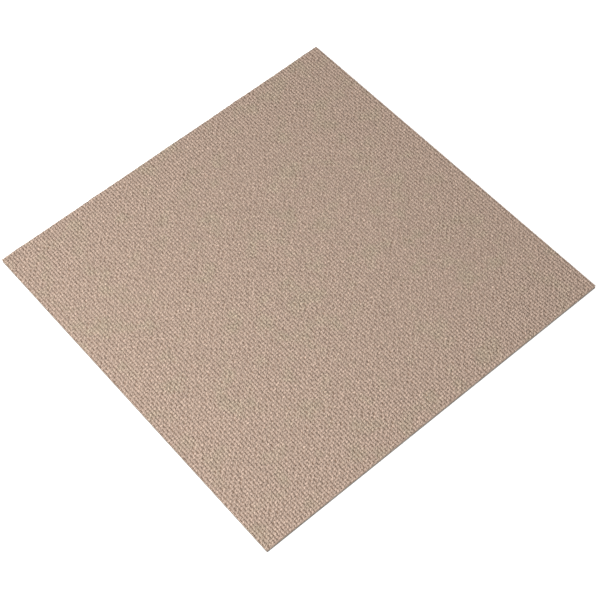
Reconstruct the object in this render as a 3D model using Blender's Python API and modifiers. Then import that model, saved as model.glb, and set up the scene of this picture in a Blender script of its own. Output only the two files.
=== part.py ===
"""Loop-pile carpet tile: a tufted face bonded to a heavy backing, cut square with a die.

Metres, +Z up. The origin is the middle of the underside. +X runs along the rows of
the pile and +Y across them.
"""

import bpy

# Outline, the same for both layers because one die cuts them together
TILE_LENGTH = 0.500  # along the rows, X
TILE_WIDTH = 0.500  # across the rows, Y

# Layers, from the floor up
BACKING_THICKNESS = 0.0025
BOND_GAP = 0.0003  # adhesive line between the layers
PILE_HEIGHT = 0.0037  # tips of the loops above the underside of their primary cloth

# The outermost loops have nothing to lean on, so the pile rounds off along its rim
PILE_RIM_RADIUS = 0.0011
PILE_RIM_SEGMENTS = 4

# Linear colour, roughness
YARN_BEIGE = (0.459, 0.345, 0.270, 1.0), 0.95
BACKING_GREY = (0.205, 0.198, 0.188, 1.0), 0.75

COLLECTION_NAME = "carpet_tile"


def clear_scene():
    for old in list(bpy.data.objects):
        bpy.data.objects.remove(old, do_unlink=True)


def make_collection():
    collection = bpy.data.collections.new(COLLECTION_NAME)
    bpy.context.scene.collection.children.link(collection)
    return collection


def make_material(name, look):
    colour, roughness = look
    material = bpy.data.materials.new(name)
    material.use_nodes = True
    surface = material.node_tree.nodes["Principled BSDF"]
    surface.inputs["Base Color"].default_value = colour
    surface.inputs["Roughness"].default_value = roughness
    surface.inputs["Metallic"].default_value = 0.0
    material.diffuse_color = colour
    return material


def make_layer(name, underside, thickness, look, collection):
    """A flat layer of the tile's outline, standing on the height of its underside."""
    bpy.ops.mesh.primitive_cube_add(size=1.0, location=(0.0, 0.0, underside + thickness / 2))
    layer = bpy.context.object
    layer.name = name
    layer.data.name = name
    layer.scale = (TILE_LENGTH, TILE_WIDTH, thickness)
    bpy.ops.object.transform_apply(location=False, rotation=False, scale=True)
    layer.data.materials.append(make_material(name, look))
    for holder in list(layer.users_collection):
        holder.objects.unlink(layer)
    collection.objects.link(layer)
    return layer


def round_upper_rim(layer, radius, segments):
    """Bevel on the four upper edges, by weight, so that the upright corners stay die-cut."""
    mesh = layer.data
    weights = mesh.attributes.new("bevel_weight_edge", "FLOAT", "EDGE")
    for edge, weight in zip(mesh.edges, weights.data):
        weight.value = float(all(mesh.vertices[v].co.z > 0.0 for v in edge.vertices))
    bevel = layer.modifiers.new("rounded rim", "BEVEL")
    bevel.limit_method = "WEIGHT"
    bevel.width = radius
    bevel.segments = segments


def main():
    clear_scene()
    tile = make_collection()
    make_layer("backing", 0.0, BACKING_THICKNESS, BACKING_GREY, tile)
    pile_underside = BACKING_THICKNESS + BOND_GAP
    pile = make_layer("pile", pile_underside, PILE_HEIGHT, YARN_BEIGE, tile)
    round_upper_rim(pile, PILE_RIM_RADIUS, PILE_RIM_SEGMENTS)


main()
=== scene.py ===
"""Looks of the loop-pile carpet tile: every row of looped yarn, the cloth that it is tufted
through, the die-cut backing, and the photograph's camera over a white studio floor.

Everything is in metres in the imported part's own frame: +X along the rows of the pile, +Y
across them, +Z up, with the origin in the middle of the underside.
"""

import math

import bpy
import numpy as np
from mathutils import Matrix, Vector, noise

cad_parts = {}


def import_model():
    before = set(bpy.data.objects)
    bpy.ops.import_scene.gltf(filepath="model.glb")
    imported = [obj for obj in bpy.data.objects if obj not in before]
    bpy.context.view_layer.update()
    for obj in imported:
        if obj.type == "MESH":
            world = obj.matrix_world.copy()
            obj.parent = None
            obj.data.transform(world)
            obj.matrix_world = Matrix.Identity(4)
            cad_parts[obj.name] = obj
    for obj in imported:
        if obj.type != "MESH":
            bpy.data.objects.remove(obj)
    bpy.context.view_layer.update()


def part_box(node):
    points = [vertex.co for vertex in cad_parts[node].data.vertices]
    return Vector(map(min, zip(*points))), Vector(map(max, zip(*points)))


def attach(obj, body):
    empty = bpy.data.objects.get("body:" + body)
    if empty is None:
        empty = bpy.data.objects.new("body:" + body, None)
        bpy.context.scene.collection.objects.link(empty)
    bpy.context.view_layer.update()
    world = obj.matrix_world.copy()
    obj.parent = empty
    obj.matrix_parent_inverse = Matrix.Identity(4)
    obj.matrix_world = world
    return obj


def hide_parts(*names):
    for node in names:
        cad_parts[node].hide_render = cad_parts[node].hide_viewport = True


MM = 0.001
SEED = 7

# The pile, as a tufting machine makes it
ROWS_ACROSS = 126.6  # gauges in the tile's width: the die cuts through a row at both sides
FIRST_ROW = -0.19  # the first row's middle lies this many gauges from the tile's -Y side
ROWS = 128
STITCHES = 141  # loops along each row
ROWS_IN_BAND = 16  # rows that share one piece
SPARE_STITCHES = 3  # past each end of a row, for the die to cut off
COLUMN_LEAN = math.radians(1.8)  # the columns of loops aren't quite square to the rows
WELD = 0.01 * MM  # joins one stitch's last ring to the next one's first

# One stitch of yarn, from where it comes up through the cloth to where it goes down again:
# share of the stitch, height over the cloth, half thickness, half width, climb in degrees.
# The next stitch's first ring closes it.
STITCH_RINGS = (
    (0.00, 1.75, 0.80, 1.80, 0),
    (0.16, 2.06, 0.92, 2.15, 22),
    (0.37, 2.28, 1.00, 2.45, 9),
    (0.63, 2.28, 1.00, 2.45, -9),
    (0.84, 2.06, 0.92, 2.15, -22),
)
RING_POINTS = 5

# How unevenly the loops stand: one standard deviation, in millimetres, degrees, or as a
# share of the loop's size
UNEVEN_ALONG = 0.56
UNEVEN_ACROSS = 0.42
UNEVEN_HEIGHT = 0.18
UNEVEN_TURN = 15.0
UNEVEN_WIDTH = 0.12
UNEVEN_TONE = 0.035
MEAN_TURN = -26.0  # the yarn's twist turns every loop the same way
EXTREME = 2.0  # no loop strays by more standard deviations than this
TALLEST = 0.8  # and none stands too tall by more than this, since the finished pile was levelled
YIELD = 0.22  # a crowded loop yields to each neighbour by this share of what that one strays
BLOOM_REACH = 1.6  # within this many millimetres of the die's cut, yarn springs open
BLOOM_SPREAD = 0.30  # its share of width gained
BLOOM_LIFT = 1.5  # and how far the low parts rise, in millimetres
ROW_WANDER = 0.22  # how far a row strays from its line, in millimetres
WANDER_LENGTH = 45.0  # and over what length it does so
WANDER_WAVES = 6

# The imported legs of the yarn, the cloth and the backing, in millimetres. The cuts are how often
# a sheet is divided along each side.
LEGS_HEIGHT = 1.9  # the legs stand packed this high over the cloth
LEGS_SET_IN = 0.25  # behind the die's cut, where only the cut ends of the yarn show
LEGS_CUTS = 130
LEGS_LUMPS = 0.35
LUMP_SIZE = 4.0
CLOTH_ABOVE_BOND = 0.5  # the cloth reaches this far over the CAD pile's underside
CLOTH_CUTS = 120
CLOTH_FRAY = 0.22
BACKING_CUTS = 40
BACKING_FRAY = 0.04
BACKING_ARRIS = 0.35  # the die rolls the rim of the underside over
BACKING_RIM = 2.0  # inside this rim the underside is flat

# The yarn's colour and twist. The filaments are drawn coarse enough to show.
YARN_WARM = "#BBA494"
YARN_GREY = "#B8A592"
CUT_AND_SHADED_YARN = "#A78E7C"  # the yarn's colour where it is cut, and, as painted shade, where it stands deep between the loops
DRIFT_LENGTH = 27.0  # the dye drifts over this many millimetres
PLIES = 4.0  # furrows round the yarn
PLY_TURNS = 1.6  # furrows that cross one stitch, and which way they slant
FURROW_PAINTED_SHADE = 0.30  # painted shade: the share of the yarn's colour left in a furrow
FURROW_WIDTH = 0.42  # the part of a ply's rise that lies in the furrow
RIDGE_BRIGHT = 1.06
FILAMENTS = 2.2  # bundles of crimped filaments to a furrow
CRIMP_RELIEF = 0.35  # how high the crimp stands, as a share of the plies' height
DEEP_PAINTED_SHADE = 0.80  # painted shade: the share of the yarn's colour left deep in the pile
DEEP_FROM = 0.55  # and how far below the pile's top the painted shade begins and is full, in millimetres
DEEP_TO = 1.50

# Colours of the other materials
TAPE_PALE = "#B3A592"
TAPE_DULL = "#8A7B6B"
LATEX = "#98897A"
PVC_DARK = "#767471"
PVC_PALE = "#84827F"
CHALK = "#B5B2AB"
CUT_PVC_DARK = "#636160"
CUT_PVC_PALE = "#868480"
ACRYLIC_WHITE = "#F2F2F2"

# How each material shines: roughness, index of refraction and specular level. Where smears or
# clouds vary the roughness, a range of theirs takes the place of the first.
NYLON_YARN = (0.85, 1.53, 0.2)
CUT_NYLON = (0.90, 1.53, 0.2)
PACKED_NYLON = (0.95, 1.53, 0.1)
POLYPROPYLENE = (0.60, 1.49, 0.5)
CALENDERED_PVC = (0.60, 1.53, 0.5)
CUT_PVC = (0.80, 1.53, 0.5)
OPAL_ACRYLIC = (0.90, 1.49, 0.5)

# Patterns of the other materials, in millimetres
FILAMENT_ENDS = 0.45
YARN_ENDS = 1.5
TAPE_WIDTH = 1.2
LATEX_SMEARS = 3.6
EMBOSS_PITCH = 5.0
PVC_CLOUDS = 50.0
CHALK_SPECKS = 1.2
DRAG_LINES = 0.5
LEG_STRETCH = (1.0, 1.0, 0.25)  # the legs' streaks run upright
DRAG_STRETCH = (1.0, 1.0, 0.12)  # and so do the lines that the blade dragged
WAVE_PERIOD = math.pi / 10  # length of a band of the Wave node at scale 1
SOFT_EDGE = math.radians(25)  # a sheet's edges sharper than this stay crisp

# What each pattern's value becomes: a mix of two colours, a share of the light, or roughness
DRIFT_RANGE = {"From Min": 0.52, "From Max": 0.68}
GLINT_AND_SHADE_RANGE = {"From Min": 0.35, "From Max": 0.65, "To Min": 0.66, "To Max": 1.14}
END_RIM_SHADE_RANGE = {"From Min": 0.25, "From Max": 0.75, "To Min": 1.06, "To Max": 0.80}
STIPPLE_RANGE = {"From Min": 0.30, "From Max": 0.70, "To Min": 0.84, "To Max": 1.16}
# The legs' streaks never reach the yarn's full colour: painted shade
LEG_STREAK_AND_SHADE_RANGE = {"From Min": 0.30, "From Max": 0.70, "To Min": 0.60, "To Max": 0.94}
SMEAR_RANGE = {"From Min": 0.40, "From Max": 0.70}
SMEAR_GLOSS_RANGE = {"To Min": 0.62, "To Max": 0.40}
CHALK_RANGE = {"From Min": 0.66, "From Max": 0.74, "To Max": 0.60}
WAFFLE_SHADE_RANGE = {"To Min": 0.80, "To Max": 1.35}
CLOUD_GLOSS_RANGE = {"From Min": 0.30, "From Max": 0.70, "To Min": 0.52, "To Max": 0.70}

# The fine relief of each surface
YARN_RELIEF = {"Strength": 0.4, "Distance": 0.8 * MM}
CUT_END_RELIEF = {"Strength": 0.6, "Distance": 0.3 * MM}
LEG_RELIEF = {"Strength": 0.8, "Distance": 0.5 * MM}
WEAVE_RELIEF = {"Strength": 0.5, "Distance": 0.2 * MM}
WAFFLE_RELIEF = {"Strength": 0.7, "Distance": 0.3 * MM}
DRAG_RELIEF = {"Strength": 0.5, "Distance": 0.15 * MM}

# The bake map of a band: a grid of cells, one for each loop and for each cut end
BAKE_CELLS = 51
CELL_MARGIN = 0.08
CELL_SPAN = 6.0  # a cell takes this many millimetres of a cut side
LONG_CUT = 20.0  # a cut face longer than this, in millimetres, is a row cut along its length

# Which faces are cut sides: those whose normals point up or down by less than this
UPRIGHT = 0.01  # in a band of rows
STEEP = 0.5  # in a sheet, whose cut sides are frayed

# The camera, as solved from the tile's four edges in the photograph
FOCAL_PIXELS = 1514.5
PICTURE_PIXELS = 600
SENSOR_WIDTH = 36.0
CAMERA_PLACE = (0.79569, -0.58331, 1.50681)
CAMERA_RIGHT = (0.64762825, 0.76074431, -0.04296198)
CAMERA_LOOK = (-0.42910706, 0.3175488, -0.8455944)

# The studio: each softbox's place, width and power
SKY = 0.51
SOFTBOXES = {
    "key_softbox": ((-0.05, -2.0, 2.0), 1.6, 38.0),
    "near_softbox": ((-0.03, -0.55, 0.90), 0.8, 7.2),
}
FLOOR_SIZE = 20.0
FLOOR_PLACE = (0.0, 2.0, -0.2 * MM)  # the seam between its triangles keeps clear of the tile
FLOOR_GLOW = 0.6


def linear(hex_colour):
    """An sRGB hex colour as the linear RGBA that a shader takes."""
    channels = [int(hex_colour[i : i + 2], 16) / 255 for i in (1, 3, 5)]
    lit = [c / 12.92 if c <= 0.04045 else ((c + 0.055) / 1.055) ** 2.4 for c in channels]
    return (*lit, 1.0)


def add_node(tree, kind, settings=(), values=(), links=()):
    """Adds a node, sets its properties and its inputs, and links outputs to its inputs."""
    node = tree.nodes.new(kind)
    for name, value in dict(settings).items():
        setattr(node, name, value)
    for name, value in dict(values).items():
        node.inputs[name].default_value = value
    for name, source in dict(links).items():
        tree.links.new(source, node.inputs[name])
    return node


def new_material(name, finish):
    """A new material of the given roughness, index of refraction and specular level."""
    roughness, ior, specular = finish
    material = bpy.data.materials.new(name)
    material.use_nodes = True
    surface = material.node_tree.nodes["Principled BSDF"]
    surface.inputs["Roughness"].default_value = roughness
    surface.inputs["IOR"].default_value = ior
    surface.inputs["Specular IOR Level"].default_value = specular
    return material, material.node_tree, surface


def deselect():
    """Drops what is selected, such as the CAD nodes that the frame leaves so."""
    for picked in list(bpy.context.selected_objects):
        picked.select_set(False)


def pick(piece):
    """Selects just this piece, and makes it the one that operators act on."""
    deselect()
    piece.select_set(True)
    bpy.context.view_layer.objects.active = piece


def finish_piece(piece, node):
    """Declares a piece: the body it rides on, and the node that it stands for."""
    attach(piece, "root")
    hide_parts(node)


def yarn_material(pile_top):
    # Nylon: bulked filaments, plied, twisted and heat-set. The eye sees a matt yarn with a soft
    # furrow slanting where the plies meet, its shade painted into the colour; crimped filaments,
    # with glints and shade painted here and there; a dye that drifts a little from warm to grey;
    # and painted shade deep in the pile.
    material, tree, surface = new_material("heat_set_nylon_loop_yarn", NYLON_YARN)
    place = add_node(tree, "ShaderNodeTexCoord").outputs["Object"]
    drift = add_node(
        tree,
        "ShaderNodeTexNoise",
        values={"Scale": 1 / (DRIFT_LENGTH * MM), "Detail": 2.0, "Roughness": 0.5},
        links={"Vector": place},
    )
    warmth = add_node(
        tree, "ShaderNodeMapRange", values=DRIFT_RANGE, links={"Value": drift.outputs["Fac"]}
    )
    hue = add_node(
        tree,
        "ShaderNodeMix",
        {"data_type": "RGBA"},
        {"A": linear(YARN_WARM), "B": linear(YARN_GREY)},
        {"Factor": warmth.outputs["Result"]},
    )
    tone = add_node(tree, "ShaderNodeAttribute", {"attribute_name": "loop_tone"})
    height = add_node(tree, "ShaderNodeSeparateXYZ", links={"Vector": place}).outputs["Z"]
    # Painted shade: the yarn's colour darkens deep below the pile's top, where the fibres shade
    # each other
    depth = add_node(
        tree,
        "ShaderNodeMapRange",
        {"interpolation_type": "SMOOTHSTEP"},
        {
            "From Min": pile_top - DEEP_TO * MM,
            "From Max": pile_top - DEEP_FROM * MM,
            "To Min": DEEP_PAINTED_SHADE,
        },
        {"Value": height},
    )
    yarn = add_node(tree, "ShaderNodeUVMap", {"uv_map": "yarn"}).outputs["UV"]
    slant = add_node(
        tree,
        "ShaderNodeVectorMath",
        {"operation": "DOT_PRODUCT"},
        {1: (PLY_TURNS, PLIES, 0.0)},
        {0: yarn},
    ).outputs["Value"]
    turn = add_node(tree, "ShaderNodeMath", {"operation": "MULTIPLY"}, {1: math.pi}, {0: slant})
    wave = add_node(tree, "ShaderNodeMath", {"operation": "SINE"}, links={0: turn.outputs[0]})
    ridge = add_node(tree, "ShaderNodeMath", {"operation": "ABSOLUTE"}, links={0: wave.outputs[0]})
    # Painted shade: the yarn's colour darkens in the furrows where the plies meet
    ply = add_node(
        tree,
        "ShaderNodeMapRange",
        values={"From Max": FURROW_WIDTH, "To Min": FURROW_PAINTED_SHADE, "To Max": RIDGE_BRIGHT},
        links={"Value": ridge.outputs[0]},
    ).outputs["Result"]
    along = add_node(tree, "ShaderNodeSeparateXYZ", links={"Vector": yarn}).outputs["X"]
    strand = add_node(tree, "ShaderNodeCombineXYZ", links={"X": slant, "Y": along})
    crimp = add_node(
        tree,
        "ShaderNodeTexNoise",
        values={"Scale": FILAMENTS, "Detail": 1.0, "Roughness": 0.5},
        links={"Vector": strand.outputs["Vector"]},
    ).outputs["Fac"]
    # Painted glints and shade: the crimp lightens and darkens the yarn's colour here and there
    painted_glint_and_shade = add_node(tree, "ShaderNodeMapRange", values=GLINT_AND_SHADE_RANGE, links={"Value": crimp})
    light = tone.outputs["Fac"]
    for share in (depth.outputs["Result"], ply, painted_glint_and_shade.outputs["Result"]):
        step = add_node(
            tree, "ShaderNodeMath", {"operation": "MULTIPLY"}, links={0: light, 1: share}
        )
        light = step.outputs[0]
    dye_and_painted_shade = add_node(
        tree,
        "ShaderNodeVectorMath",
        {"operation": "SCALE"},
        links={"Vector": hue.outputs["Result"], "Scale": light},
    )
    relief = add_node(
        tree, "ShaderNodeMath", {"operation": "MULTIPLY_ADD"}, {1: CRIMP_RELIEF}, {0: crimp, 2: ply}
    )
    bump = add_node(
        tree, "ShaderNodeBump", values=YARN_RELIEF, links={"Height": relief.outputs[0]}
    )
    tree.links.new(dye_and_painted_shade.outputs["Vector"], surface.inputs["Base Color"])
    tree.links.new(bump.outputs["Normal"], surface.inputs["Normal"])
    return material


def cut_end_material():
    # The same nylon cut straight through by the die. The eye sees a matt face stippled with
    # filament ends, with shade painted darker round each yarn's rim where the yarns meet. The ends
    # are drawn ten times too coarse.
    material, tree, surface = new_material("die_cut_nylon_ends", CUT_NYLON)
    place = add_node(tree, "ShaderNodeTexCoord").outputs["Object"]
    yarns = add_node(
        tree,
        "ShaderNodeTexVoronoi",
        values={"Scale": 1 / (YARN_ENDS * MM)},
        links={"Vector": place},
    )
    # Painted shade: each cut yarn is darker towards its rim, where the yarns meet, and a little
    # lighter in its middle
    rim = add_node(
        tree,
        "ShaderNodeMapRange",
        values=END_RIM_SHADE_RANGE,
        links={"Value": yarns.outputs["Distance"]},
    )
    ends = add_node(
        tree,
        "ShaderNodeTexNoise",
        values={"Scale": 1 / (FILAMENT_ENDS * MM), "Detail": 2.0, "Roughness": 0.6},
        links={"Vector": place},
    )
    stipple = add_node(
        tree, "ShaderNodeMapRange", values=STIPPLE_RANGE, links={"Value": ends.outputs["Fac"]}
    )
    light = add_node(
        tree,
        "ShaderNodeMath",
        {"operation": "MULTIPLY"},
        links={0: rim.outputs["Result"], 1: stipple.outputs["Result"]},
    )
    dye_and_painted_shade = add_node(
        tree,
        "ShaderNodeVectorMath",
        {"operation": "SCALE"},
        {"Vector": linear(CUT_AND_SHADED_YARN)[:3]},
        {"Scale": light.outputs[0]},
    )
    bump = add_node(
        tree, "ShaderNodeBump", values=CUT_END_RELIEF, links={"Height": light.outputs[0]}
    )
    tree.links.new(dye_and_painted_shade.outputs["Vector"], surface.inputs["Base Color"])
    tree.links.new(bump.outputs["Normal"], surface.inputs["Normal"])
    return material


def packed_leg_material():
    # The lower halves of the loops, pressed side by side. Between the loops the eye sees the
    # same yarn in shade, painted here as a darker colour: short upright streaks, and no ply to be
    # made out.
    material, tree, surface = new_material("packed_nylon_yarn_legs", PACKED_NYLON)
    place = add_node(tree, "ShaderNodeTexCoord").outputs["Object"]
    upright = add_node(
        tree, "ShaderNodeMapping", values={"Scale": LEG_STRETCH}, links={"Vector": place}
    )
    streaks = add_node(
        tree,
        "ShaderNodeTexNoise",
        values={"Scale": 1 / (YARN_ENDS * MM), "Detail": 3.0, "Roughness": 0.65},
        links={"Vector": upright.outputs["Vector"]},
    )
    # Painted shade: the streaks darken the yarn's colour throughout
    light = add_node(
        tree,
        "ShaderNodeMapRange",
        values=LEG_STREAK_AND_SHADE_RANGE,
        links={"Value": streaks.outputs["Fac"]},
    )
    dye_and_painted_shade = add_node(
        tree,
        "ShaderNodeVectorMath",
        {"operation": "SCALE"},
        {"Vector": linear(CUT_AND_SHADED_YARN)[:3]},
        {"Scale": light.outputs["Result"]},
    )
    bump = add_node(
        tree, "ShaderNodeBump", values=LEG_RELIEF, links={"Height": streaks.outputs["Fac"]}
    )
    tree.links.new(dye_and_painted_shade.outputs["Vector"], surface.inputs["Base Color"])
    tree.links.new(bump.outputs["Normal"], surface.inputs["Normal"])
    return material


def cloth_material():
    # Polypropylene slit into flat tapes and plainly woven, then brushed with latex that holds
    # the tufts. Cut through, the eye sees pale tape ends in turn with duller glued ones.
    material, tree, surface = new_material("woven_polypropylene_tape", POLYPROPYLENE)
    place = add_node(tree, "ShaderNodeTexCoord").outputs["Object"]
    weave = add_node(
        tree,
        "ShaderNodeTexChecker",
        values={
            "Scale": 1 / (TAPE_WIDTH * MM),
            "Color1": linear(TAPE_PALE),
            "Color2": linear(TAPE_DULL),
        },
        links={"Vector": place},
    )
    latex = add_node(
        tree,
        "ShaderNodeTexNoise",
        values={"Scale": 1 / (LATEX_SMEARS * MM), "Detail": 4.0, "Roughness": 0.6},
        links={"Vector": place},
    )
    smeared = add_node(
        tree, "ShaderNodeMapRange", values=SMEAR_RANGE, links={"Value": latex.outputs["Fac"]}
    )
    glued = add_node(
        tree,
        "ShaderNodeMix",
        {"data_type": "RGBA"},
        {"B": linear(LATEX)},
        {"Factor": smeared.outputs["Result"], "A": weave.outputs["Color"]},
    )
    gloss = add_node(
        tree,
        "ShaderNodeMapRange",
        values=SMEAR_GLOSS_RANGE,
        links={"Value": smeared.outputs["Result"]},
    )
    bump = add_node(
        tree, "ShaderNodeBump", values=WEAVE_RELIEF, links={"Height": weave.outputs["Fac"]}
    )
    tree.links.new(glued.outputs["Result"], surface.inputs["Base Color"])
    tree.links.new(gloss.outputs["Result"], surface.inputs["Roughness"])
    tree.links.new(bump.outputs["Normal"], surface.inputs["Normal"])
    return material


def underside_material():
    # Plasticised PVC filled with chalk, calendered hot and embossed by a waffle roller. The eye
    # sees a dull mid-grey sheet of small soft squares, with shade painted into the pits between
    # them and the squares' tops painted lighter, with pale chalk specks and cloudy gloss. The
    # squares are drawn two to three times too coarse.
    material, tree, surface = new_material("calendered_pvc_waffle", CALENDERED_PVC)
    place = add_node(tree, "ShaderNodeTexCoord").outputs["Object"]
    clouds = add_node(
        tree,
        "ShaderNodeTexNoise",
        values={"Scale": 1 / (PVC_CLOUDS * MM), "Detail": 5.0, "Roughness": 0.6},
        links={"Vector": place},
    )
    milled = add_node(
        tree,
        "ShaderNodeMix",
        {"data_type": "RGBA"},
        {"A": linear(PVC_DARK), "B": linear(PVC_PALE)},
        {"Factor": clouds.outputs["Fac"]},
    )
    chalk = add_node(
        tree,
        "ShaderNodeTexNoise",
        values={"Scale": 1 / (CHALK_SPECKS * MM), "Detail": 1.0},
        links={"Vector": place},
    )
    speck = add_node(
        tree, "ShaderNodeMapRange", values=CHALK_RANGE, links={"Value": chalk.outputs["Fac"]}
    )
    specked = add_node(
        tree,
        "ShaderNodeMix",
        {"data_type": "RGBA"},
        {"B": linear(CHALK)},
        {"Factor": speck.outputs["Result"], "A": milled.outputs["Result"]},
    )
    ribs = [
        add_node(
            tree,
            "ShaderNodeTexWave",
            {"wave_type": "BANDS", "bands_direction": way},
            {"Scale": WAVE_PERIOD / (EMBOSS_PITCH * MM)},
            {"Vector": place},
        ).outputs["Fac"]
        for way in ("X", "Y")
    ]
    waffle = add_node(
        tree, "ShaderNodeMath", {"operation": "MULTIPLY"}, links={0: ribs[0], 1: ribs[1]}
    )
    # Painted shade and light: the pits between the squares are darker and their tops lighter
    painted_pit_shade = add_node(
        tree, "ShaderNodeMapRange", values=WAFFLE_SHADE_RANGE, links={"Value": waffle.outputs[0]}
    )
    embossed = add_node(
        tree,
        "ShaderNodeVectorMath",
        {"operation": "SCALE"},
        links={"Vector": specked.outputs["Result"], "Scale": painted_pit_shade.outputs["Result"]},
    )
    bump = add_node(
        tree, "ShaderNodeBump", values=WAFFLE_RELIEF, links={"Height": waffle.outputs[0]}
    )
    gloss = add_node(
        tree,
        "ShaderNodeMapRange",
        values=CLOUD_GLOSS_RANGE,
        links={"Value": clouds.outputs["Fac"]},
    )
    tree.links.new(embossed.outputs["Vector"], surface.inputs["Base Color"])
    tree.links.new(gloss.outputs["Result"], surface.inputs["Roughness"])
    tree.links.new(bump.outputs["Normal"], surface.inputs["Normal"])
    return material


def cut_backing_material():
    # The same PVC where the die cut it. The eye sees a matt side scored with fine upright lines
    # that the blade dragged, a little paler where it stretched the sheet.
    material, tree, surface = new_material("die_cut_pvc_side", CUT_PVC)
    place = add_node(tree, "ShaderNodeTexCoord").outputs["Object"]
    upright = add_node(
        tree, "ShaderNodeMapping", values={"Scale": DRAG_STRETCH}, links={"Vector": place}
    )
    drag = add_node(
        tree,
        "ShaderNodeTexNoise",
        values={"Scale": 1 / (DRAG_LINES * MM), "Detail": 3.0, "Roughness": 0.6},
        links={"Vector": upright.outputs["Vector"]},
    )
    scored = add_node(
        tree,
        "ShaderNodeMix",
        {"data_type": "RGBA"},
        {"A": linear(CUT_PVC_DARK), "B": linear(CUT_PVC_PALE)},
        {"Factor": drag.outputs["Fac"]},
    )
    bump = add_node(
        tree, "ShaderNodeBump", values=DRAG_RELIEF, links={"Height": drag.outputs["Fac"]}
    )
    tree.links.new(scored.outputs["Result"], surface.inputs["Base Color"])
    tree.links.new(bump.outputs["Normal"], surface.inputs["Normal"])
    return material


def floor_material():
    # Opal acrylic over lamps, as under a packshot: an even pale glow. Its back lets the view
    # through, so that the tile's underside can be seen from below.
    material, tree, surface = new_material("opal_acrylic_light_table", OPAL_ACRYLIC)
    surface.inputs["Base Color"].default_value = linear(ACRYLIC_WHITE)
    surface.inputs["Emission Color"].default_value = (1.0, 1.0, 1.0, 1.0)
    surface.inputs["Emission Strength"].default_value = FLOOR_GLOW
    side = add_node(tree, "ShaderNodeNewGeometry").outputs["Backfacing"]
    clear = add_node(tree, "ShaderNodeBsdfTransparent")
    sheet = add_node(
        tree,
        "ShaderNodeMixShader",
        links={0: side, 1: surface.outputs["BSDF"], 2: clear.outputs["BSDF"]},
    )
    out = tree.nodes["Material Output"]
    tree.links.new(sheet.outputs["Shader"], out.inputs["Surface"])
    return material


def model_stitch(cloth_top, pitch):
    """One stitch of yarn as an open tube: a ring of points, extruded along the arch."""
    deselect()
    share, height, thick, wide, climb = STITCH_RINGS[0]
    here = Vector((share * pitch, 0.0, cloth_top + height * MM))
    bpy.ops.mesh.primitive_circle_add(
        vertices=RING_POINTS, radius=1.0, fill_type="NOTHING", location=here
    )
    stitch = bpy.context.object
    bpy.ops.object.transform_apply(location=True, rotation=True, scale=True)
    bpy.ops.object.mode_set(mode="EDIT")
    bpy.ops.mesh.select_all(action="SELECT")
    quarter = math.pi / 2
    bpy.ops.transform.rotate(value=quarter, orient_axis="Y", center_override=here)
    bpy.ops.transform.rotate(value=quarter, orient_axis="X", center_override=here)
    bpy.ops.transform.resize(value=(1.0, wide * MM, thick * MM), center_override=here)
    for share, height, next_thick, next_wide, next_climb in (
        *STITCH_RINGS[1:],
        (1.0, *STITCH_RINGS[0][1:]),
    ):
        there = Vector((share * pitch, 0.0, cloth_top + height * MM))
        bpy.ops.mesh.extrude_region_move(TRANSFORM_OT_translate={"value": there - here})
        bpy.ops.transform.rotate(
            value=-math.radians(climb), orient_axis="Y", center_override=there
        )
        bpy.ops.transform.resize(
            value=(1.0, next_wide / wide, next_thick / thick), center_override=there
        )
        bpy.ops.transform.rotate(
            value=math.radians(next_climb), orient_axis="Y", center_override=there
        )
        here, thick, wide, climb = there, next_thick, next_wide, next_climb
    bpy.ops.mesh.select_all(action="SELECT")
    bpy.ops.mesh.normals_make_consistent(inside=False)
    bpy.ops.object.mode_set(mode="OBJECT")
    return stitch


def map_stitch(stitch):
    """Lays out a stitch's yarn map: along the yarn in stitches, and once around it."""
    mesh = stitch.data
    yarn = mesh.uv_layers.new(name="yarn")
    for face in mesh.polygons:
        around = [mesh.loops[corner].vertex_index % RING_POINTS for corner in face.loop_indices]
        for corner, turn in zip(face.loop_indices, around):
            if turn == 0 and max(around) == RING_POINTS - 1:
                turn = RING_POINTS
            at = mesh.loops[corner].vertex_index // RING_POINTS
            yarn.uv[corner].vector = (at / len(STITCH_RINGS), turn / RING_POINTS)


def repeat(piece, count, step, merge):
    """Copies the piece in a straight line with an applied Array modifier."""
    array = piece.modifiers.new("repeat", "ARRAY")
    array.count = count
    array.use_relative_offset = False
    array.use_constant_offset = True
    array.constant_offset_displace = step
    array.use_merge_vertices = merge
    array.merge_threshold = WELD
    pick(piece)
    bpy.ops.object.modifier_apply(modifier=array.name)


def read(data, name, width=1):
    """All values of one property of a mesh's points, corners or faces, as an array."""
    found = np.empty(len(data) * width, np.float32)
    data.foreach_get(name, found)
    return found.reshape(-1, width) if width > 1 else found


def unfold_band(mesh, stitches, rng):
    """Numbers the stitches along the yarn map, turns each loop's twist by a part of a turn, and
    gives each loop its cell of the bake map."""
    corners_in_stitch = 4 * RING_POINTS * len(STITCH_RINGS)
    number = np.arange(len(mesh.loops)) // corners_in_stitch
    yarn = read(mesh.uv_layers["yarn"].uv, "vector", 2)
    cell = np.stack([number % BAKE_CELLS, number // BAKE_CELLS], 1)
    inside = CELL_MARGIN + yarn * (1 - 2 * CELL_MARGIN)
    bake = mesh.uv_layers.new(name="OFBake")
    bake.uv.foreach_set("vector", ((cell + inside) / BAKE_CELLS).astype(np.float32).ravel())
    lag = rng.uniform(0.0, 1.0, number.max() + 1)
    yarn[:, 0] += number % stitches
    yarn[:, 1] += number // stitches + lag[number]
    mesh.uv_layers["yarn"].uv.foreach_set("vector", yarn.ravel())


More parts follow.
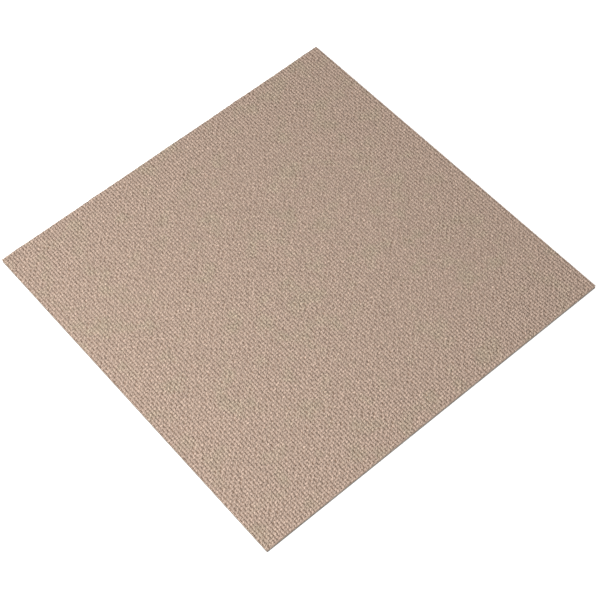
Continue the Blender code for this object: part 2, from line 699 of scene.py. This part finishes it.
def rough_up(mesh, number, low, high, pitch, gauge, wander, rng):
    """Sets each loop of a band unevenly, as real ones stand, and puts the band in its place."""
    stitches = STITCHES + 2 * SPARE_STITCHES
    points = read(mesh.vertices, "co", 3).astype(float)
    rings_in_row = stitches * len(STITCH_RINGS) + 1
    row, ring = np.divmod(np.arange(len(points)) // RING_POINTS, rings_in_row)
    stitch, ring = np.divmod(ring, len(STITCH_RINGS))
    stitch = stitch.clip(0, stitches - 1)
    rise = np.sin(math.pi * np.array([found[0] for found in STITCH_RINGS]))[ring]
    stray = rng.normal(0.0, 1.0, (6, ROWS_IN_BAND, stitches)).clip(-EXTREME, EXTREME)
    for way in (1, 2):
        stray -= YIELD * (np.roll(stray, 1, way) + np.roll(stray, -1, way))
    fat, along, across, tall, turn, shade = stray[:, row, stitch]
    turn = np.radians(MEAN_TURN + UNEVEN_TURN * turn) * rise
    from_x = points[:, 0] - (stitch + 0.5) * pitch
    from_y = (points[:, 1] - row * gauge) * (1 + rise * UNEVEN_WIDTH * fat)
    points[:, 0] += (np.cos(turn) - 1) * from_x - np.sin(turn) * from_y
    points[:, 0] += rise * UNEVEN_ALONG * MM * along
    points[:, 1] = row * gauge + np.sin(turn) * from_x + np.cos(turn) * from_y
    points[:, 1] += rise * UNEVEN_ACROSS * MM * across
    points[:, 2] += rise * UNEVEN_HEIGHT * MM * np.minimum(tall, TALLEST)
    points[:, 1] += low.y + (number * ROWS_IN_BAND + FIRST_ROW) * gauge
    points[:, 0] += low.x - SPARE_STITCHES * pitch + math.tan(COLUMN_LEAN) * points[:, 1]
    for way, start in wander:
        wave = np.sin(points[:, :2] @ way + start)
        points[:, 1] += ROW_WANDER * MM * wave / math.sqrt(WANDER_WAVES)
    depth = np.minimum(points[:, 0] - low.x, high.x - points[:, 0])
    bloom = (1 - depth / (BLOOM_REACH * MM)).clip(0.0, 1.0)
    middle = low.y + (number * ROWS_IN_BAND + FIRST_ROW + row) * gauge
    points[:, 1] += bloom * BLOOM_SPREAD * (points[:, 1] - middle)
    points[:, 2] += bloom * BLOOM_LIFT * MM * (1 - rise)
    mesh.vertices.foreach_set("co", points.ravel())
    tone = mesh.attributes.new("loop_tone", "FLOAT", "POINT")
    tone.data.foreach_set("value", (1.0 + UNEVEN_TONE * shade).astype(np.float32))
    mesh.update()


def die_cut(piece, low, high):
    """Cuts a band off at the tile's four sides, and closes the cut ends of the yarn."""
    pick(piece)
    bpy.ops.object.mode_set(mode="EDIT")
    for side in (Vector((1, 0, 0)), Vector((-1, 0, 0)), Vector((0, 1, 0)), Vector((0, -1, 0))):
        corner = high if sum(side) > 0 else low
        bpy.ops.mesh.select_all(action="SELECT")
        bpy.ops.mesh.bisect(plane_co=corner, plane_no=side, clear_outer=True)
    bpy.ops.mesh.select_all(action="SELECT")
    bpy.ops.mesh.fill_holes(sides=0)
    bpy.ops.object.mode_set(mode="OBJECT")


def finish_cut_ends(mesh, low, high):
    """Gives the cut ends their own material, and spare cells of the bake map."""
    near = 0.5 * WELD
    points = read(mesh.vertices, "co", 3)
    on_side = [
        np.abs(points[:, 0] - low.x) < near,
        np.abs(points[:, 0] - high.x) < near,
        np.abs(points[:, 1] - low.y) < near,
        np.abs(points[:, 1] - high.y) < near,
    ]
    bake = mesh.uv_layers["OFBake"].uv
    cell = ROWS_IN_BAND * (STITCHES + 2 * SPARE_STITCHES)
    for face in mesh.polygons:
        if abs(face.normal.z) > UPRIGHT:
            continue
        corners = list(face.vertices)
        if not any(side[corners].all() for side in on_side):
            continue
        face.material_index = 1
        face.use_smooth = False
        flat = points[corners]
        across = flat[:, 1] if abs(face.normal.x) > abs(face.normal.y) else flat[:, 0]
        middle = np.array([across.mean(), flat[:, 2].mean()])
        place = (np.stack([across, flat[:, 2]], 1) - middle) / (CELL_SPAN * MM) + 0.5
        if np.ptp(across) > LONG_CUT * MM:
            place[:, 0] = (across - low.x) / (high.x - low.x) * BAKE_CELLS
            place[:, 1] += BAKE_CELLS - 1
        else:
            place = place.clip(CELL_MARGIN, 1 - CELL_MARGIN)
            place += (cell % BAKE_CELLS, cell // BAKE_CELLS)
            cell = min(cell + 1, BAKE_CELLS * (BAKE_CELLS - 1) - 1)
        for corner, spot in zip(face.loop_indices, place / BAKE_CELLS):
            bake[corner].vector = spot


def model_band(number, low, high, cloth_top, wander, materials):
    """One band of rows: a stitch repeated into rows of yarn, set unevenly, then die-cut."""
    pitch = (high.x - low.x) / STITCHES
    gauge = (high.y - low.y) / ROWS_ACROSS
    stitches = STITCHES + 2 * SPARE_STITCHES
    band = model_stitch(cloth_top, pitch)
    map_stitch(band)
    repeat(band, stitches, (pitch, 0.0, 0.0), True)
    repeat(band, ROWS_IN_BAND, (0.0, gauge, 0.0), False)
    rng = np.random.default_rng((SEED, number))
    unfold_band(band.data, stitches, rng)
    rough_up(band.data, number, low, high, pitch, gauge, wander, rng)
    for material in materials:
        band.data.materials.append(material)
    die_cut(band, low, high)
    pick(band)
    bpy.ops.object.shade_smooth()
    finish_cut_ends(band.data, low, high)
    band.name = f"pile_rows_{number + 1}"
    finish_piece(band, "pile")


def choose(piece, kind, test):
    """In edit mode, selects just the edges or faces whose points all pass the test."""
    bpy.ops.mesh.select_mode(type=kind)
    bpy.ops.mesh.select_all(action="DESELECT")
    bpy.ops.object.mode_set(mode="OBJECT")
    points = piece.data.vertices
    for part in piece.data.edges if kind == "EDGE" else piece.data.polygons:
        part.select = all(test(points[corner].co) for corner in part.vertices)
    bpy.ops.object.mode_set(mode="EDIT")


def model_sheet(name, low, high, cuts):
    """A die-cut sheet, in edit mode: its outline, cut finer, filled and extruded upwards."""
    deselect()
    middle = (low + high) / 2
    bpy.ops.mesh.primitive_plane_add(size=1.0, location=(middle.x, middle.y, low.z))
    sheet = bpy.context.object
    sheet.name = name
    sheet.scale = (high.x - low.x, high.y - low.y, 1.0)
    bpy.ops.object.transform_apply(location=True, rotation=True, scale=True)
    bpy.ops.object.mode_set(mode="EDIT")
    if cuts:
        bpy.ops.mesh.delete(type="ONLY_FACE")
        bpy.ops.mesh.select_all(action="SELECT")
        bpy.ops.mesh.subdivide(number_cuts=cuts)
        bpy.ops.mesh.edge_face_add()
    bpy.ops.mesh.extrude_region_move(
        TRANSFORM_OT_translate={"value": (0.0, 0.0, high.z - low.z)}
    )
    return sheet


def fray(mesh, low, high, depth, rng):
    """Draws the points of a sheet's cut side in, each by its own part of the depth."""
    points = read(mesh.vertices, "co", 3)
    for axis in (0, 1):
        for side, inward in ((low[axis], 1.0), (high[axis], -1.0)):
            cut = np.abs(points[:, axis] - side) < WELD
            points[cut, axis] += inward * depth * MM * rng.random(cut.sum())
    mesh.vertices.foreach_set("co", points.ravel())
    mesh.update()


def finish_sheet(piece, broad, narrow):
    """Makes a sheet's faces point outwards, and gives its cut sides a material of their own."""
    bpy.ops.mesh.select_all(action="SELECT")
    bpy.ops.mesh.normals_make_consistent(inside=False)
    bpy.ops.object.mode_set(mode="OBJECT")
    piece.data.materials.append(broad)
    piece.data.materials.append(narrow)
    for face in piece.data.polygons:
        face.material_index = int(abs(face.normal.z) < STEEP)
    pick(piece)
    bpy.ops.object.shade_smooth_by_angle(angle=SOFT_EDGE)


def model_legs(low, high, bed, cut_side):
    """The legs of the loops, packed side by side between the cloth and the tops: a lumpy bed."""
    set_in = Vector((LEGS_SET_IN * MM, LEGS_SET_IN * MM, 0.0))
    legs = model_sheet("packed_yarn_legs", low + set_in, high - set_in, 0)
    choose(legs, "FACE", lambda point: point.z > high.z - WELD)
    bpy.ops.mesh.subdivide(number_cuts=LEGS_CUTS)
    finish_sheet(legs, bed, cut_side)
    for point in legs.data.vertices:
        if point.co.z > high.z - WELD:
            point.co.z += LEGS_LUMPS * MM * noise.noise(point.co / (LUMP_SIZE * MM))
    finish_piece(legs, "pile")


def model_cloth(low, high, material, rng):
    """The woven cloth that the loops are tufted through, frayed a little where it is cut."""
    cloth = model_sheet("primary_cloth", low, high, CLOTH_CUTS)
    finish_sheet(cloth, material, material)
    fray(cloth.data, low, high, CLOTH_FRAY, rng)
    finish_piece(cloth, "pile")


def model_backing(low, high, underside, cut_side, rng):
    """The calendered sheet under it all, its lower rim rolled over by the die."""
    backing = model_sheet("backing_sheet", low, high, BACKING_CUTS)
    choose(backing, "EDGE", lambda point: point.z < low.z + WELD)
    bpy.ops.mesh.bevel(offset=BACKING_ARRIS * MM, segments=3, affect="EDGES")
    choose(backing, "FACE", lambda point: point.z < low.z + WELD)
    bpy.ops.mesh.inset(thickness=BACKING_RIM * MM)
    finish_sheet(backing, underside, cut_side)
    fray(backing.data, low, high, BACKING_FRAY, rng)
    finish_piece(backing, "backing")


def make_camera():
    """The photograph's camera."""
    data = bpy.data.cameras.new("camera")
    data.sensor_width = SENSOR_WIDTH
    data.lens = data.sensor_width * FOCAL_PIXELS / PICTURE_PIXELS
    camera = bpy.data.objects.new("camera", data)
    bpy.context.scene.collection.objects.link(camera)
    right, back = Vector(CAMERA_RIGHT), -Vector(CAMERA_LOOK)
    turn = Matrix((right, back.cross(right), back)).transposed().to_4x4()
    camera.matrix_world = Matrix.Translation(CAMERA_PLACE) @ turn
    bpy.context.scene.camera = camera


def make_studio():
    """A glowing floor, an even sky and two softboxes, all from the side of the pile."""
    bpy.ops.mesh.primitive_plane_add(size=FLOOR_SIZE, location=FLOOR_PLACE)
    floor = bpy.context.object
    floor.name = "floor"
    floor.data.materials.append(floor_material())
    world = bpy.data.worlds.new("studio")
    world.use_nodes = True
    sky = world.node_tree.nodes["Background"]
    sky.inputs["Color"].default_value = (1.0, 1.0, 1.0, 1.0)
    sky.inputs["Strength"].default_value = SKY
    bpy.context.scene.world = world
    for name, (place, width, watts) in SOFTBOXES.items():
        lamp = bpy.data.lights.new(name, "AREA")
        lamp.shape = "SQUARE"
        lamp.size = width
        lamp.energy = watts
        softbox = bpy.data.objects.new(name, lamp)
        bpy.context.scene.collection.objects.link(softbox)
        softbox.location = place
        softbox.rotation_mode = "QUATERNION"
        softbox.rotation_quaternion = Vector(place).to_track_quat("Z", "Y")
        softbox.visible_camera = False
    bpy.context.scene.view_settings.view_transform = "Standard"


def main():
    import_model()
    pile_low, pile_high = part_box("pile")
    base_low, base_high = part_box("backing")
    cloth_top = pile_low.z + CLOTH_ABOVE_BOND * MM
    rng = np.random.default_rng(SEED)
    ways = rng.normal(0.0, 1.0, (WANDER_WAVES, 2)) * 2 * math.pi / (WANDER_LENGTH * MM)
    wander = list(zip(ways, rng.uniform(0, 2 * math.pi, WANDER_WAVES)))
    cut_ends = cut_end_material()
    materials = (yarn_material(pile_high.z), cut_ends)
    for number in range(ROWS // ROWS_IN_BAND):
        model_band(number, pile_low, pile_high, cloth_top, wander, materials)
    corners = (Vector((*pile_low.xy, cloth_top)), Vector((*pile_high.xy, cloth_top)))
    model_legs(
        corners[0],
        corners[1] + Vector((0.0, 0.0, LEGS_HEIGHT * MM)),
        packed_leg_material(),
        cut_ends,
    )
    model_cloth(Vector((*pile_low.xy, base_high.z)), corners[1], cloth_material(), rng)
    model_backing(base_low, base_high, underside_material(), cut_backing_material(), rng)
    make_camera()
    make_studio()


main()
